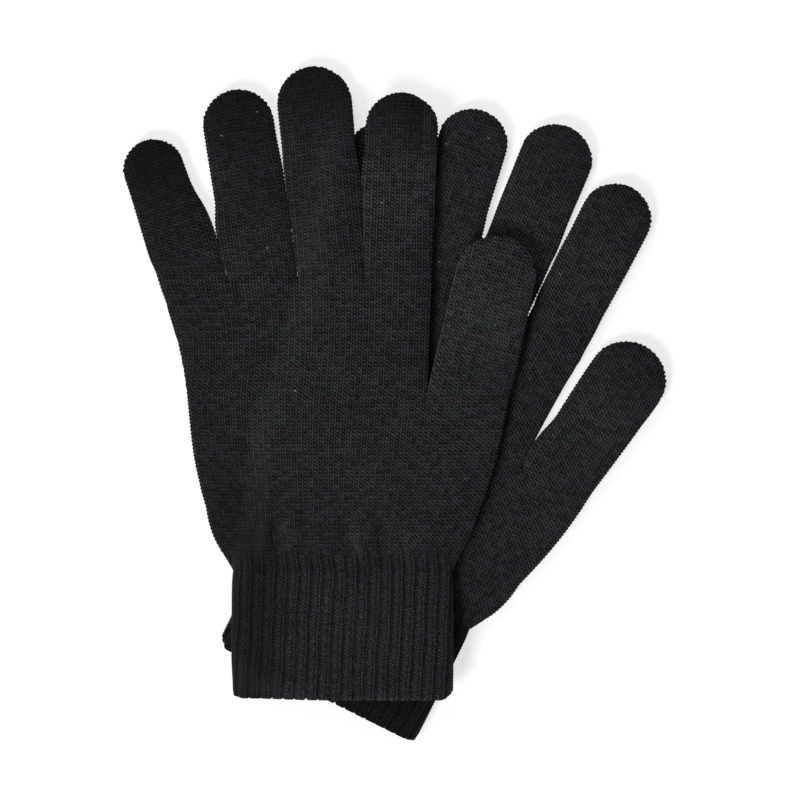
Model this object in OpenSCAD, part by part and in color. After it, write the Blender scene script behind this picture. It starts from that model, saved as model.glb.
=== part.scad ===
// Pair of knitted touchscreen gloves. The upper glove lies flat across the lower one,
// which is turned clockwise beneath it. Both thumbs point to +X.
// Millimetres, +Z up, origin at the middle of the ground that the pair covers.

/* [Cuff] */
// Width of the flat cuff
cuff_w = 83.6; // [81:0.2:86]
// Length of the cuff from hem to wrist
cuff_len = 48; // [44:1:52]
// Thickness of the flat cuff over its ribs
cuff_t = 9.2; // [8.8:0.1:9.6]
// Thickness of the ribbed fabric
cuff_wall = 1.6; // [1.4:0.1:1.8]
// Ribs across each face of the cuff
rib_count = 19; // [15:1:21]
// Depth of the grooves between the ribs
rib_depth = 0.7; // [0.4:0.1:0.8]
// Length of the welt that finishes the hem
welt_len = 3; // [2.5:0.5:4]
// Rows of elastic thread laid into the cuff
elastic_rows = 3; // [2:1:5]

/* [Palm] */
// Distance from the hem to the knuckle line
knuckle_y = 160; // [157:1:163]
// Distance from the hem to the thumb crotch
thumb_y = 114; // [112:1:116]
// Distance of the little finger's outer edge from the centre line at the knuckles
little_side = 71; // [70:0.5:72]
// Distance of the index finger's outer edge from the centre line at the knuckles
index_side = 33.8; // [33:0.2:35]
// Distance of the thumb's outer edge from the centre line at the thumb crotch: lower, upper glove
thumb_side = [60, 63.4];
// Distance of the thumb crotch from the centre line
crotch_side = 31.8; // [31:0.2:32.6]
// How far the little finger's side of the palm bows out
side_bow = 3.3; // [1:0.1:4]
// How far the thumb's side of the palm bows out
thumb_bow = 2.8; // [1:0.2:3.4]
// Thickness of the flat palm at the wrist
palm_t = 8.4; // [8:0.1:8.8]

/* [Fingers] */
// Lengths beyond the knuckle line: little, ring, middle, index, then the thumb beyond its crotch
finger_len = [53.9, 71, 79.4, 68.8, 61.5];
// Widths near the tips, in the same order
tip_w = [23.1, 26.9, 28.2, 27.2, 30.2];
// Thickness of the flat fingers
finger_t = 7.6; // [7.4:0.1:8]
// Thickness of the plain knitted fabric
wall = 1.2; // [1:0.1:1.3]
// Length of the conductive yarn at the thumb, index and middle tips
touch_len = 24; // [20:1:28]

/* [Pair] */
// Lean of each finger of the upper glove, clockwise degrees: little to index, then the thumb
upper_lean = [-18.7, -8.7, -5.5, 1.5, 13];
// Lean of each finger of the lower glove
lower_lean = [-18.6, -9.3, -3.9, -0.1, 8.5];
// Clockwise turn of the lower glove, degrees
lower_turn = 26.5; // [26:0.1:28]
// How long the lower glove lies for its full length, as it is less drawn out
lower_reach = 0.98; // [0.97:0.005:0.99]
// Place of the upper hem's middle
upper_at = [-19.8, -111.2];
// Place of the lower hem's middle
lower_at = [-29.6, -109.4];
// Clearance between the gloves where one lies on the other
lay_gap = 1; // [0.9:0.1:1.2]
// Distance over which the upper glove falls from the lower one to the ground
drape_run = 15; // [13:1:18]

/* [Hidden] */
SIDES = ["lower", "upper"];
PIECES = ["palm", "crotch_stitches", "cuff", "cuff_welt", "cuff_elastic",
          "little_finger", "ring_finger", "middle_finger", "middle_tip",
          "index_finger", "index_tip", "thumb", "thumb_tip"];

LOWER = 0;
UPPER = 1;
THUMB = 4;
lean = [lower_lean, upper_lean];
turn = [lower_turn, 0];
reach = [lower_reach, 1];
at = [lower_at, upper_at];

joint_gap = 0.15;        // half the gap across a fold line
finger_split = 0.15;     // half the gap between neighbouring finger bases
ring_step = 9;           // largest distance between cross-sections
palm_steps = 19;         // points across one face of the palm
finger_steps = 8;        // points across one face of a finger
palm_flat = 0.74;        // share of the palm's width that is flat
cuff_flat = 0.82;        // share of the cuff's width that is flat
finger_flat = 0.3;       // share of a finger's width that is flat
cap_angles = [18, 36, 52, 66, 78];
elastic_w = 1.2;         // width of one elastic row
elastic_t = 0.4;         // thickness of one elastic row
elastic_gap = [0.05, 0.5];  // clearance between the elastic and the cuff: lower, upper glove
stitch_r = 0.3;          // radius of a crotch stitch
stitch_len = 3;          // length of a crotch stitch
stitch_lift = [0, 0.8];  // clearance under the stitches: lower, upper glove
stitch_step = 1.4;       // distance between crotch stitches
stitches = 3;            // stitches at each crotch
thumb_step = 0.65;       // length over which the palm narrows at the thumb crotch
mouth_reach = [-6, 0, 2];  // from inside the palm to beyond its thumb end

palm_colour = "#232528";
cuff_colour = "#1e2023";
tip_colour = "#1b1c1f";
thread_colour = "#2b2d31";

// ---- outline of one glove, in its own frame: hem's middle at 0, fingers towards +Y ----

function mix(a, b, t) = a + (b - a) * t;
function clamp01(t) = min(1, max(0, t));
function smooth(t) = let (c = clamp01(t)) c * c * (3 - 2 * c);

// Little finger's side of the hand
function left_x(y) =
    let (t = clamp01((y - cuff_len) / (knuckle_y - cuff_len)))
    -mix(cuff_w / 2, little_side, t) - side_bow * sin(360 * t) - side_bow / 3 * sin(180 * t);

// Thumb's side of the hand, up to the thumb crotch
function gusset_x(g, y) =
    let (t = clamp01((y - cuff_len) / (thumb_y - cuff_len)))
    mix(cuff_w / 2, thumb_side[g], t) + thumb_bow * sin(180 * t);

// Index finger's side of the hand, above the thumb crotch
function index_x(y) = mix(crotch_side, index_side, (y - thumb_y) / (knuckle_y - thumb_y));

function right_x(g, y) = y < thumb_y ? gusset_x(g, y) : index_x(min(y, knuckle_y));

function hand_t(y) = mix(palm_t, finger_t, smooth((y - cuff_len) / (thumb_y - cuff_len)));

// Where the fingers part along the knuckle line
finger_edge = [-little_side, -44.2, -17.2, 8.3, index_side];

function base_edges(g, k) = k == THUMB ? [crotch_side, thumb_side[g]] : [finger_edge[k], finger_edge[k + 1]];
function base_x(g, k) = (base_edges(g, k)[0] + base_edges(g, k)[1]) / 2;
function base_half(g, k) = (base_edges(g, k)[1] - base_edges(g, k)[0]) / 2 - finger_split;
function base_y(k) = k == THUMB ? thumb_y : knuckle_y;
function cap_at(k) = finger_len[k] - tip_w[k] / 2;
function limb_half(g, k, s) = mix(base_half(g, k), tip_w[k] / 2, smooth(s / cap_at(k)));

// ---- how the upper glove rests on the lower one ----

function to_lower(x, y) =
    let (dx = x - lower_at[0], dy = y - lower_at[1])
    [cos(lower_turn) * dx - sin(lower_turn) * dy,
     (sin(lower_turn) * dx + cos(lower_turn) * dy) / lower_reach];

function fall(d) = 1 - smooth(d / drape_run);

function hand_rise(q) =
    let (y = min(max(q[1], 0), knuckle_y),
         side = max(left_x(y) - q[0], q[0] - right_x(LOWER, y), 0),
         end = max(-q[1], q[1] - knuckle_y, 0))
    (q[1] < cuff_len ? cuff_t : hand_t(y)) * fall(norm([side, end]));

function limb_rise(k, q) =
    let (dir = [sin(lower_lean[k]), cos(lower_lean[k])],
         from = [q[0] - base_x(LOWER, k), q[1] - base_y(k)],
         s = min(max(from * dir, 0), cap_at(k)))
    finger_t * fall(norm(from - s * dir) - limb_half(LOWER, k, s));

function rise(x, y) =
    let (q = to_lower(x, y),
         high = max(hand_rise(q), max([for (k = [0:THUMB]) limb_rise(k, q)])))
    high + lay_gap * smooth(high / finger_t);

// A point of glove g, laid in its place
function laid(g, p) =
    let (q = [p[0], p[1] * reach[g]],
         x = cos(turn[g]) * q[0] + sin(turn[g]) * q[1] + at[g][0],
         y = -sin(turn[g]) * q[0] + cos(turn[g]) * q[1] + at[g][1])
    [x, y, p[2] + (g == UPPER ? rise(x, y) : 0)];

// ---- cross-sections: closed rings of points, from the left edge over the top and back below ----

function dome(u, flat) =
    let (v = max(0, (abs(u) - flat) / (1 - flat)))
    sqrt(max(0, 1 - v * v));

function across(k, steps, even) = even ? abs(((k + steps) % (2 * steps)) - steps) / steps * 2 - 1 : -cos(k * 180 / steps);

function ring(g, centre, half, t, mid, angle, flat, steps, groove = 0) =
    [for (k = [0:2 * steps - 1])
        let (u = across(k, steps, groove != 0),
             cut = groove * (k % 2),
             rim = abs(u) == 1 ? 0 : (k < steps ? 1 : -1),
             w = (half - (abs(u) == 1 ? cut : 0)) * u,
             z = mid + rim * max(0.05, t / 2 * dome(u, flat) - cut))
        laid(g, [centre[0] + w * cos(angle), centre[1] - w * sin(angle), z])];

function hand_ring(g, y, inset) =
    ring(g, [(left_x(y) + right_x(g, y)) / 2, y], (right_x(g, y) - left_x(y)) / 2 - inset,
         hand_t(y) - 2 * inset, hand_t(y) / 2, 0, palm_flat, palm_steps);

function cuff_ring(g, y, inset, t, groove) =
    ring(g, [0, y], cuff_w / 2 - inset, t - 2 * inset, cuff_t / 2, 0, cuff_flat, 2 * rib_count, groove);

function limb_ring(g, k, s, inset, phi = 0) =
    let (a = lean[g][k] * smooth(s / (0.4 * cap_at(k))),
         start = s == 0 ? joint_gap : 0,
         r = tip_w[k] / 2 - inset,
         along = s + r * sin(phi),
         centre = [base_x(g, k) + along * sin(lean[g][k]), base_y(k) + start + along * cos(lean[g][k])])
    ring(g, centre, (limb_half(g, k, s) - inset) * cos(phi), (finger_t - 2 * inset) * pow(cos(phi), 0.6),
         finger_t / 2, a, finger_flat, finger_steps);

function steps_between(a, b) =
    let (n = ceil((b - a) / ring_step)) [for (i = [0:n]) mix(a, b, i / n)];

// ---- closed solids from rings ----

function skin(first, rings, n, out) =
    [for (i = [0:rings - 2], j = [0:n - 1])
        let (a = first + i * n + j, b = first + i * n + (j + 1) % n, c = b + n, d = a + n)
        each out ? [[a, d, c], [a, c, b]] : [[a, c, d], [a, b, c]]];

function rim_faces(outer, inner, n, start) =
    [for (j = [0:n - 1])
        let (a = outer + j, b = outer + (j + 1) % n, c = inner + (j + 1) % n, d = inner + j)
        each start ? [[a, b, c], [a, c, d]] : [[a, c, b], [a, d, c]]];

function cap_faces(first, n, out) =
    [for (j = [1:n - 2]) out ? [first, first + j + 1, first + j] : [first, first + j, first + j + 1]];

// A fabric tube between an outer and an inner skin, open at its start, closed at its end if tip is true
module tube(outer, inner, tip = false) {
    n = len(outer[0]);
    lo = len(outer);
    li = len(inner);
    last_o = (lo - 1) * n;
    first_i = lo * n;
    last_i = first_i + (li - 1) * n;
    points = [for (r = outer) each r, for (r = inner) each r];
    ends = tip ? [each cap_faces(last_o, n, true), each cap_faces(last_i, n, false)]
               : rim_faces(last_o, last_i, n, false);
    polyhedron(points, [each skin(0, lo, n, true), each skin(first_i, li, n, false),
                        each rim_faces(0, first_i, n, true), each ends]);
}

// A full solid between its first and last ring
module plug(rings) {
    n = len(rings[0]);
    points = [for (r = rings) each r];
    last = (len(rings) - 1) * n;
    polyhedron(points, [each skin(0, len(rings), n, true), each cap_faces(last, n, true),
                        each cap_faces(0, n, false)]);
}

// ---- sub-parts ----

function palm_rings(g, inset) =
    let (low = steps_between(cuff_len + joint_gap, thumb_y - joint_gap - thumb_step - inset),
         high = steps_between(thumb_y - joint_gap - inset, knuckle_y - joint_gap))
    [for (y = low) hand_ring(g, y, inset), for (y = high) hand_ring(g, y < thumb_y ? thumb_y : y, inset)];

module palm(g) {
    color(palm_colour)
    difference() {
        tube(palm_rings(g, 0), palm_rings(g, wall));
        plug([for (dy = mouth_reach) thumb_mouth(g, thumb_y + dy)]);
    }
}

// The way from the palm into the thumb
function thumb_mouth(g, y) =
    let (from = crotch_side + finger_split + wall,
         to = gusset_x(g, min(y, thumb_y)) - finger_split - wall)
    ring(g, [(from + to) / 2, y], (to - from) / 2, finger_t - 2 * wall, finger_t / 2, 0, finger_flat, finger_steps);

// The tube of a finger as far as its tip, or as far as its conductive yarn
module limb(g, k, touch) {
    stop = touch ? finger_len[k] - touch_len : cap_at(k);
    body = steps_between(0, stop);
    caps = touch ? [] : cap_angles;
    color(palm_colour)
    tube([for (s = body) limb_ring(g, k, s, 0), for (p = caps) limb_ring(g, k, stop, 0, p)],
         [for (s = body) limb_ring(g, k, s, wall), for (p = caps) limb_ring(g, k, stop, wall, p)],
         !touch);
}

// The conductive end of a finger
module touch_tip(g, k) {
    body = steps_between(finger_len[k] - touch_len, cap_at(k));
    color(tip_colour)
    tube([for (s = body) limb_ring(g, k, s, 0), for (p = cap_angles) limb_ring(g, k, cap_at(k), 0, p)],
         [for (s = body) limb_ring(g, k, s, wall), for (p = cap_angles) limb_ring(g, k, cap_at(k), wall, p)],
         true);
}

cuff_rows = steps_between(welt_len, cuff_len - joint_gap);

module cuff(g) {
    color(cuff_colour)
    tube([for (y = cuff_rows) cuff_ring(g, y, 0, cuff_t, rib_depth)],
         [for (y = cuff_rows) cuff_ring(g, y, cuff_wall, cuff_t, 0)]);
}

// The doubled edge course that finishes the hem
module cuff_welt(g) {
    color(cuff_colour)
    tube([for (y = [0, welt_len]) cuff_ring(g, y, rib_depth / 2, cuff_t, 0)],
         [for (y = [0, welt_len]) cuff_ring(g, y, cuff_wall, cuff_t, 0)]);
}

// Elastic thread rows that lie against the inside of the cuff, each between two of its cross-sections
module cuff_elastic(g) {
    spans = len(cuff_rows) - 1;
    color(thread_colour)
    for (i = [0:elastic_rows - 1]) {
        first = floor((i + 0.5) * spans / elastic_rows);
        y = [cuff_rows[first], cuff_rows[first + 1]];
        half = elastic_w / 2 / (y[1] - y[0]);
        tube([for (t = [0.5 - half, 0.5 + half]) elastic_ring(g, y, t, elastic_gap[g])],
             [for (t = [0.5 - half, 0.5 + half]) elastic_ring(g, y, t, elastic_gap[g] + elastic_t)]);
    }
}

function elastic_ring(g, y, t, inset) =
    let (a = cuff_ring(g, y[0], cuff_wall + inset, cuff_t, 0),
         b = cuff_ring(g, y[1], cuff_wall + inset, cuff_t, 0))
    [for (j = [0:len(a) - 1]) mix(a[j], b[j], t)];

// Short closing stitches across each crotch, on the face that lies up
module crotch_stitches(g) {
    spots = [for (i = [1:3]) [finger_edge[i], knuckle_y], [crotch_side - 1.5, thumb_y]];
    color(thread_colour)
    for (spot = spots) {
        for (i = [1:stitches]) {
            y = spot[1] - i * stitch_step;
            translate(stitch_place(g, spot[0], y))
            rotate([0, 90, -turn[g]])
            cylinder(r = stitch_r, h = stitch_len, center = true, $fn = 24);
        }
    }
}

// The middle of a stitch that lies on the highest part of the fabric under it
function stitch_place(g, x, y) =
    let (z = hand_t(y) + stitch_r + stitch_lift[g],
        spots = [for (dx = [-1, 0, 1]) laid(g, [x + dx * stitch_len / 2, y, z])])
    [spots[1][0], spots[1][1], max([for (p = spots) p[2]])];

module piece(g, name) {
    if (name == "palm") palm(g);
    if (name == "crotch_stitches") crotch_stitches(g);
    if (name == "cuff") cuff(g);
    if (name == "cuff_welt") cuff_welt(g);
    if (name == "cuff_elastic") cuff_elastic(g);
    if (name == "little_finger") limb(g, 0, false);
    if (name == "ring_finger") limb(g, 1, false);
    if (name == "middle_finger") limb(g, 2, true);
    if (name == "middle_tip") touch_tip(g, 2);
    if (name == "index_finger") limb(g, 3, true);
    if (name == "index_tip") touch_tip(g, 3);
    if (name == "thumb") limb(g, THUMB, true);
    if (name == "thumb_tip") touch_tip(g, THUMB);
}

for (g = [LOWER, UPPER]) {
    for (name = PIECES) {
        piece(g, name);
    }
}
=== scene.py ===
"""A pair of black knitted gloves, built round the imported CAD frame.

Every knitted tube is a closed shell whose outer skin carries the stitches, ribs and puckers.
Lengths are millimetres until a mesh is made. A glove's own frame has its hem's middle at 0,
its fingers towards +Y and its thumb towards +X, as in the CAD source, whose outline is
repeated here because this script can't read that file.
"""

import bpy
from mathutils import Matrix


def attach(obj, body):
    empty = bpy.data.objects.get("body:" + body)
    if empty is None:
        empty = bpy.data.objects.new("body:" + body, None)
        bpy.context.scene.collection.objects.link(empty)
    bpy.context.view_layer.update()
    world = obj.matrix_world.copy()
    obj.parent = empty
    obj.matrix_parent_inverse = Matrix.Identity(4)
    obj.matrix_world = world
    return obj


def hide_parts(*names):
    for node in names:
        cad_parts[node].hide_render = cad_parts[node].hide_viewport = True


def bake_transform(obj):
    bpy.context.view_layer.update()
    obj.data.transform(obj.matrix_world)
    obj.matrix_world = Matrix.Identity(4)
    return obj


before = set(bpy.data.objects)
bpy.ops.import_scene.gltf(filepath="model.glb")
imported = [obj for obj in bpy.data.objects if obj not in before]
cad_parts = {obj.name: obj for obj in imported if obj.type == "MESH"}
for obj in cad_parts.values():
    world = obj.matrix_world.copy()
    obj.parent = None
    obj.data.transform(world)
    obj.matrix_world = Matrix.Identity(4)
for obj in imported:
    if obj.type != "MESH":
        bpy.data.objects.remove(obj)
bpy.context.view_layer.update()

import math

import bpy
import numpy as np

MM = 0.001
LOWER, UPPER, THUMB = 0, 1, 4
SIDES = ("lower", "upper")

# ---- the outline of one glove, as the CAD has it ----

CUFF_W, CUFF_LEN, CUFF_T, CUFF_WALL = 83.6, 48.0, 9.2, 1.6
RIBS, WELT_LEN = 19, 3.0
KNUCKLE_Y, THUMB_Y = 160.0, 114.0
LITTLE_SIDE, INDEX_SIDE, CROTCH_SIDE = 71.0, 33.8, 31.8
THUMB_SIDE = (60.0, 63.4)
SIDE_BOW, THUMB_BOW, PALM_T = 3.3, 2.8, 8.4
FINGER_LEN = (53.9, 71.0, 79.4, 68.8, 61.5)
TIP_W = (23.1, 26.9, 28.2, 27.2, 30.2)
# what the knit has beyond the CAD: length of each finger, degrees of lean, sides drawn in
LONGER = ((-2.8, 0.2, 0.3, 0.5, 1.5), (0.2, 0.3, 0.3, 0.5, 0.2))
TURNED = ((0.0, 0.0, 0.0, 0.6, -0.4), (-0.9, -0.2, 0.0, 0.0, 0.0))
SLIMMER = (0.25, 0.05)
FINGER_T, WALL, TOUCH_LEN = 7.6, 1.2, 24.0
LEAN = ((-18.6, -9.3, -3.9, -0.1, 8.5), (-18.7, -8.7, -5.5, 1.5, 13.0))
TURN, REACH = (26.5, 0.0), (0.98, 1.0)
AT = ((-29.6, -109.4), (-19.8, -111.2))
LAY_GAP, DRAPE_RUN = 1.0, 15.0
FINGER_EDGE = (-LITTLE_SIDE, -44.2, -17.2, 8.3, INDEX_SIDE)
SPLIT = 0.15
PALM_FLAT, CUFF_FLAT, FINGER_FLAT = 0.74, 0.82, 0.3
LIMBS = ("little_finger", "ring_finger", "middle_finger", "index_finger", "thumb")
LIMB_BODY = ("little", "ring", "middle", "index", "thumb")
TIPS = {2: "middle_tip", 3: "index_tip", 4: "thumb_tip"}


def mix(a, b, t):
    return a + (b - a) * t


def smooth(t):
    t = np.clip(t, 0, 1)
    return t * t * (3 - 2 * t)


def left_x(y):
    t = np.clip((y - CUFF_LEN) / (KNUCKLE_Y - CUFF_LEN), 0, 1)
    return (-mix(CUFF_W / 2, LITTLE_SIDE, t) - SIDE_BOW * np.sin(2 * np.pi * t)
            - SIDE_BOW / 3 * np.sin(np.pi * t))


def gusset_x(g, y):
    t = np.clip((y - CUFF_LEN) / (THUMB_Y - CUFF_LEN), 0, 1)
    return mix(CUFF_W / 2, THUMB_SIDE[g], t) + THUMB_BOW * np.sin(np.pi * t)


def index_x(y):
    t = (np.minimum(y, KNUCKLE_Y) - THUMB_Y) / (KNUCKLE_Y - THUMB_Y)
    return mix(CROTCH_SIDE, INDEX_SIDE, t)


def hand_t(y):
    return mix(PALM_T, FINGER_T, smooth((y - CUFF_LEN) / (THUMB_Y - CUFF_LEN)))


def base_edges(g, k):
    return (CROTCH_SIDE, THUMB_SIDE[g]) if k == THUMB else (FINGER_EDGE[k], FINGER_EDGE[k + 1])


def base_x(g, k):
    return sum(base_edges(g, k)) / 2


def base_half(g, k):
    low, high = base_edges(g, k)
    return (high - low) / 2 - SPLIT


def base_y(k):
    return THUMB_Y if k == THUMB else KNUCKLE_Y


def cap_at(k):
    return FINGER_LEN[k] - TIP_W[k] / 2


def limb_half(g, k, s):
    return mix(base_half(g, k), TIP_W[k] / 2, smooth(s / cap_at(k)))


def dome(u, flat):
    v = np.maximum(0, (np.abs(u) - flat) / (1 - flat))
    return np.sqrt(np.maximum(0, 1 - v * v))


# ---- how the upper glove rests on the lower one, as in the CAD but for a softened step ----

STEP_RUN = 14.0  # length over which the cuff's thickness gives way to the hand's


def fall(d):
    """Share of its height that the drape keeps at distance d from what it lies on."""
    return 1 - smooth(d / DRAPE_RUN)


def rise(x, y):
    """How far the upper glove is raised over a point of the floor."""
    a = math.radians(TURN[LOWER])
    dx, dy = x - AT[LOWER][0], y - AT[LOWER][1]
    qx = math.cos(a) * dx - math.sin(a) * dy
    qy = (math.sin(a) * dx + math.cos(a) * dy) / REACH[LOWER]
    yc = np.clip(qy, 0, KNUCKLE_Y)
    right = np.where(yc < THUMB_Y, gusset_x(LOWER, yc), index_x(yc))
    side = np.maximum(np.maximum(left_x(yc) - qx, qx - right), 0)
    end = np.maximum(np.maximum(-qy, qy - KNUCKLE_Y), 0)
    thick = mix(CUFF_T, hand_t(yc), smooth((qy - CUFF_LEN + STEP_RUN / 2) / STEP_RUN))
    high = thick * fall(np.hypot(side, end))
    for k in range(5):
        lean = math.radians(LEAN[LOWER][k])
        fx, fy = qx - base_x(LOWER, k), qy - base_y(k)
        s = np.clip(fx * math.sin(lean) + fy * math.cos(lean), 0, cap_at(k))
        away = np.hypot(fx - s * math.sin(lean), fy - s * math.cos(lean))
        high = np.maximum(high, FINGER_T * fall(away - limb_half(LOWER, k, s)))
    return high + LAY_GAP * smooth(high / FINGER_T)


def placed(g, x, y):
    """Where a point of glove g is, seen from above."""
    a, y = math.radians(TURN[g]), y * REACH[g]
    return (math.cos(a) * x + math.sin(a) * y + AT[g][0],
            -math.sin(a) * x + math.cos(a) * y + AT[g][1])


def laid(g, p):
    """Points of glove g, laid in their place."""
    x, y = placed(g, p[..., 0], p[..., 1])
    return np.stack([x, y, p[..., 2] + (rise(x, y) if g == UPPER else 0)], -1)


def spot(g, x, y):
    """One such point on the floor, in metres."""
    x, y = placed(g, x, y)
    return MM * x, MM * y, 0.0


# ---- stitches: one formula, for numbers in the meshes and for wires in the materials ----

WALE, COURSE, RIB_COURSE = 2.09, 1.39, 1.2
LEG, RIB_LEG = 0.66, 0.74  # share of a wale that the broad left leg of a stitch covers
LEG_FALL, RIB_LEG_FALL = 0.9, 1.9  # courses that the left leg falls across one wale
LEG_RISE = 1.5  # courses that the steep right leg rises across one wale
RIB_SHARE = 0.8  # share of a rib that stands up; the rest is its groove
STITCH_DEPTH, STITCH_LIFT = 0.42, 0.32
PLAIN_LIFT = STITCH_LIFT / 3  # of faces whose stitches are only in their material
RIB_GROOVE = 0.2  # how deep the grooves between ribs are
PALM_WALES = 57  # wales across the hand below the thumb: three to a rib
KNUCKLE_PITCH = 2.2  # width of a wale at the knuckles


class Wire:
    """A float output in a material, with arithmetic."""

    def __init__(self, tree, socket):
        self.tree, self.socket = tree, socket

    def math(self, op, *others, clamp=False):
        n = self.tree.nodes.new("ShaderNodeMath")
        n.operation, n.use_clamp = op, clamp
        self.tree.links.new(self.socket, n.inputs[0])
        for i, o in enumerate(others, 1):
            if isinstance(o, Wire):
                self.tree.links.new(o.socket, n.inputs[i])
            else:
                n.inputs[i].default_value = o
        return Wire(self.tree, n.outputs[0])

    def __add__(self, o):
        return self.math("ADD", o)

    def __sub__(self, o):
        return self.math("SUBTRACT", o)

    def __mul__(self, o):
        return self.math("MULTIPLY", o)

    def __truediv__(self, o):
        return self.math("DIVIDE", o)


def fract(v):
    return v.math("FRACT") if isinstance(v, Wire) else v - np.floor(v)


def wave(v):
    """From 0 to 1 and back, once for each unit of v, 1 at whole numbers."""
    turn = v * (2 * math.pi)
    return (turn.math("COSINE") if isinstance(v, Wire) else np.cos(turn)) * 0.5 + 0.5


def hump(v):
    """0 at 0 and at 1, 1 between, and 0 outside."""
    if isinstance(v, Wire):
        return (v.math("MULTIPLY", 1.0, clamp=True) * math.pi).math("SINE").math("MAXIMUM", 0.0)
    return np.maximum(0, np.sin(np.clip(v, 0, 1) * math.pi))


def power(v, e):
    return v.math("POWER", e) if isinstance(v, Wire) else np.power(v, e)


def higher(a, b):
    return a.math("MAXIMUM", b) if isinstance(a, Wire) else np.maximum(a, b)


def stitch(f, c, drop=LEG_FALL, leg=LEG, crisp=0.7):
    """Height from 0 to 1 of a stitch: f across its wale from 0 to 1, c along in courses."""
    left = power(hump(f / leg), 0.55) * power(wave(c + f * drop), crisp)
    right = power(hump((f + (-leg)) / (1 - leg)), 0.6) * (wave(c + f * -LEG_RISE) * 0.35 + 0.65)
    return higher(left, right)


def rib_stitch(r, c):
    """The same across one rib, whose groove has none."""
    return stitch(r / RIB_SHARE, c, RIB_LEG_FALL, RIB_LEG, 0.45)


# ---- closed meshes from grids of points ----

class Shell:
    def __init__(self):
        self.points, self.knit, self.rib, self.count = [], [], [], 0
        self.faces, self.slots, self.smooth = [], [], []

    # the third knit value scales the colour: painted light and shade
    def add(self, points, w=0.0, c=0.0, painted_shading=1.0, phase=0.0, share=0.0, groove=0.0):
        """Adds an array of points and returns their numbers in the same arrangement."""
        shape = points.shape[:-1]
        n = int(np.prod(shape))
        self.points.append(points.reshape(-1, 3))
        for store, values in ((self.knit, (w, c, painted_shading)), (self.rib, (phase, share, groove))):
            store.append(np.stack([np.broadcast_to(v, shape).reshape(-1) for v in values], -1))
        ids = np.arange(self.count, self.count + n).reshape(shape)
        self.count += n
        return ids

    def put(self, faces, slot=0, smooth=True):
        faces = np.asarray(faces)
        if len(faces):
            self.faces.append(faces)
            self.slots.append(slot)
            self.smooth.append(smooth)

    def sheet(self, ids, out=True, slot=0):
        """Quads over a grid of point numbers."""
        a, b, c, d = ids[:-1, :-1], ids[:-1, 1:], ids[1:, 1:], ids[1:, :-1]
        q = np.stack([a, b, c, d] if out else [a, d, c, b], -1).reshape(-1, 4)
        self.put(q, slot)

    def rim(self, outer, inner, keep, out=True, slot=1):
        """Joins a fine line of points to a coarse one that has only the places in keep."""
        for i in range(len(keep) - 1):
            fine = list(outer[keep[i]:keep[i + 1] + 1])
            face = fine + [inner[i + 1], inner[i]]
            self.put([face if out else face[::-1]], slot, smooth=False)

    def tube(self, outer, inner, keep):
        """Two skins, joined where they start. Returns what rim() needs for the other end."""
        outer, inner = closed(outer), closed(inner)
        self.sheet(outer)
        self.sheet(inner, out=False, slot=1)
        around = np.concatenate([keep, [outer.shape[1] - 1]])
        self.rim(outer[0], inner[0], around, out=False)
        return outer[-1], inner[-1], around

    def make(self, name, materials):
        me = bpy.data.meshes.new(name)
        me.vertices.add(self.count)
        places = np.concatenate(self.points)
        places[:, 2] = np.maximum(places[:, 2], 0)  # flat where it rests on the floor
        me.vertices.foreach_set("co", (places * MM).astype(np.float32).ravel())
        sizes = np.concatenate([np.full(len(f), f.shape[1]) for f in self.faces])
        loops = np.concatenate([f.ravel() for f in self.faces])
        me.loops.add(len(loops))
        me.loops.foreach_set("vertex_index", loops.astype(np.int32))
        me.polygons.add(len(sizes))
        starts = np.concatenate([[0], np.cumsum(sizes)[:-1]])
        me.polygons.foreach_set("loop_start", starts.astype(np.int32))
        for m in materials:
            me.materials.append(m)
        slots = np.concatenate([np.full(len(f), s) for f, s in zip(self.faces, self.slots)])
        me.polygons.foreach_set("material_index", slots.astype(np.int32))
        me.update(calc_edges=True)
        even = np.concatenate([np.full(len(f), s) for f, s in zip(self.faces, self.smooth)])
        me.polygons.foreach_set("use_smooth", even)
        for title, store in (("knit", self.knit), ("rib", self.rib)):
            values = me.attributes.new(title, "FLOAT_VECTOR", "POINT")
            values.data.foreach_set("vector", np.concatenate(store).astype(np.float32).ravel())
        me.validate()
        ob = bpy.data.objects.new(name, me)
        bpy.context.scene.collection.objects.link(ob)
        return ob


def closed(ids):
    """A grid of point numbers whose last column is its first once more."""
    return np.concatenate([ids, ids[:, :1]], 1)


def unit(v):
    return v / np.maximum(np.linalg.norm(v, axis=-1, keepdims=True), 1e-9)


def normals(p, round_about=False):
    """Outward normals of a grid of rows along Y and columns from the left edge over the top."""
    along = np.gradient(p, axis=0)
    across = (np.roll(p, -1, 1) - np.roll(p, 1, 1)) if round_about else np.gradient(p, axis=1)
    return unit(np.cross(across, along))


def columns(half, thick, flat, cell):
    """Places from -1 to 1 across a face, evenly spaced along its curve."""
    fine = np.linspace(-1, 1, 4001)
    x, z = half * fine, thick / 2 * dome(fine, flat)
    s = np.concatenate([[0], np.cumsum(np.hypot(np.diff(x), np.diff(z)))])
    n = 2 * round(s[-1] / cell / 2)
    return np.interp(np.linspace(0, s[-1], n + 1), s, fine)


CELL = 0.42  # size of a cell across the wales
CELL_ROW = 0.40  # size of a cell along them
INNER_ROWS = 6  # outer rows to one row of the inner skin
INNER_COLS, LIMB_COLS = 3, 4  # the same for columns, of hand and cuff and of a limb
PINCH, PINCH_IN = 0.3, 0.12  # half the thickness at a crotch, outside and inside
VALLEY = 7.0  # length over which the hand divides into its fingers
TUCK_RUN = 6.0  # length over which the gaps between fingers open
PRESSED = 0.95  # share of the relief that is pressed flat at a crotch

finger_cols = [[columns(base_half(g, k), FINGER_T, FINGER_FLAT, CELL) for k in range(5)]
               for g in (LOWER, UPPER)]


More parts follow.
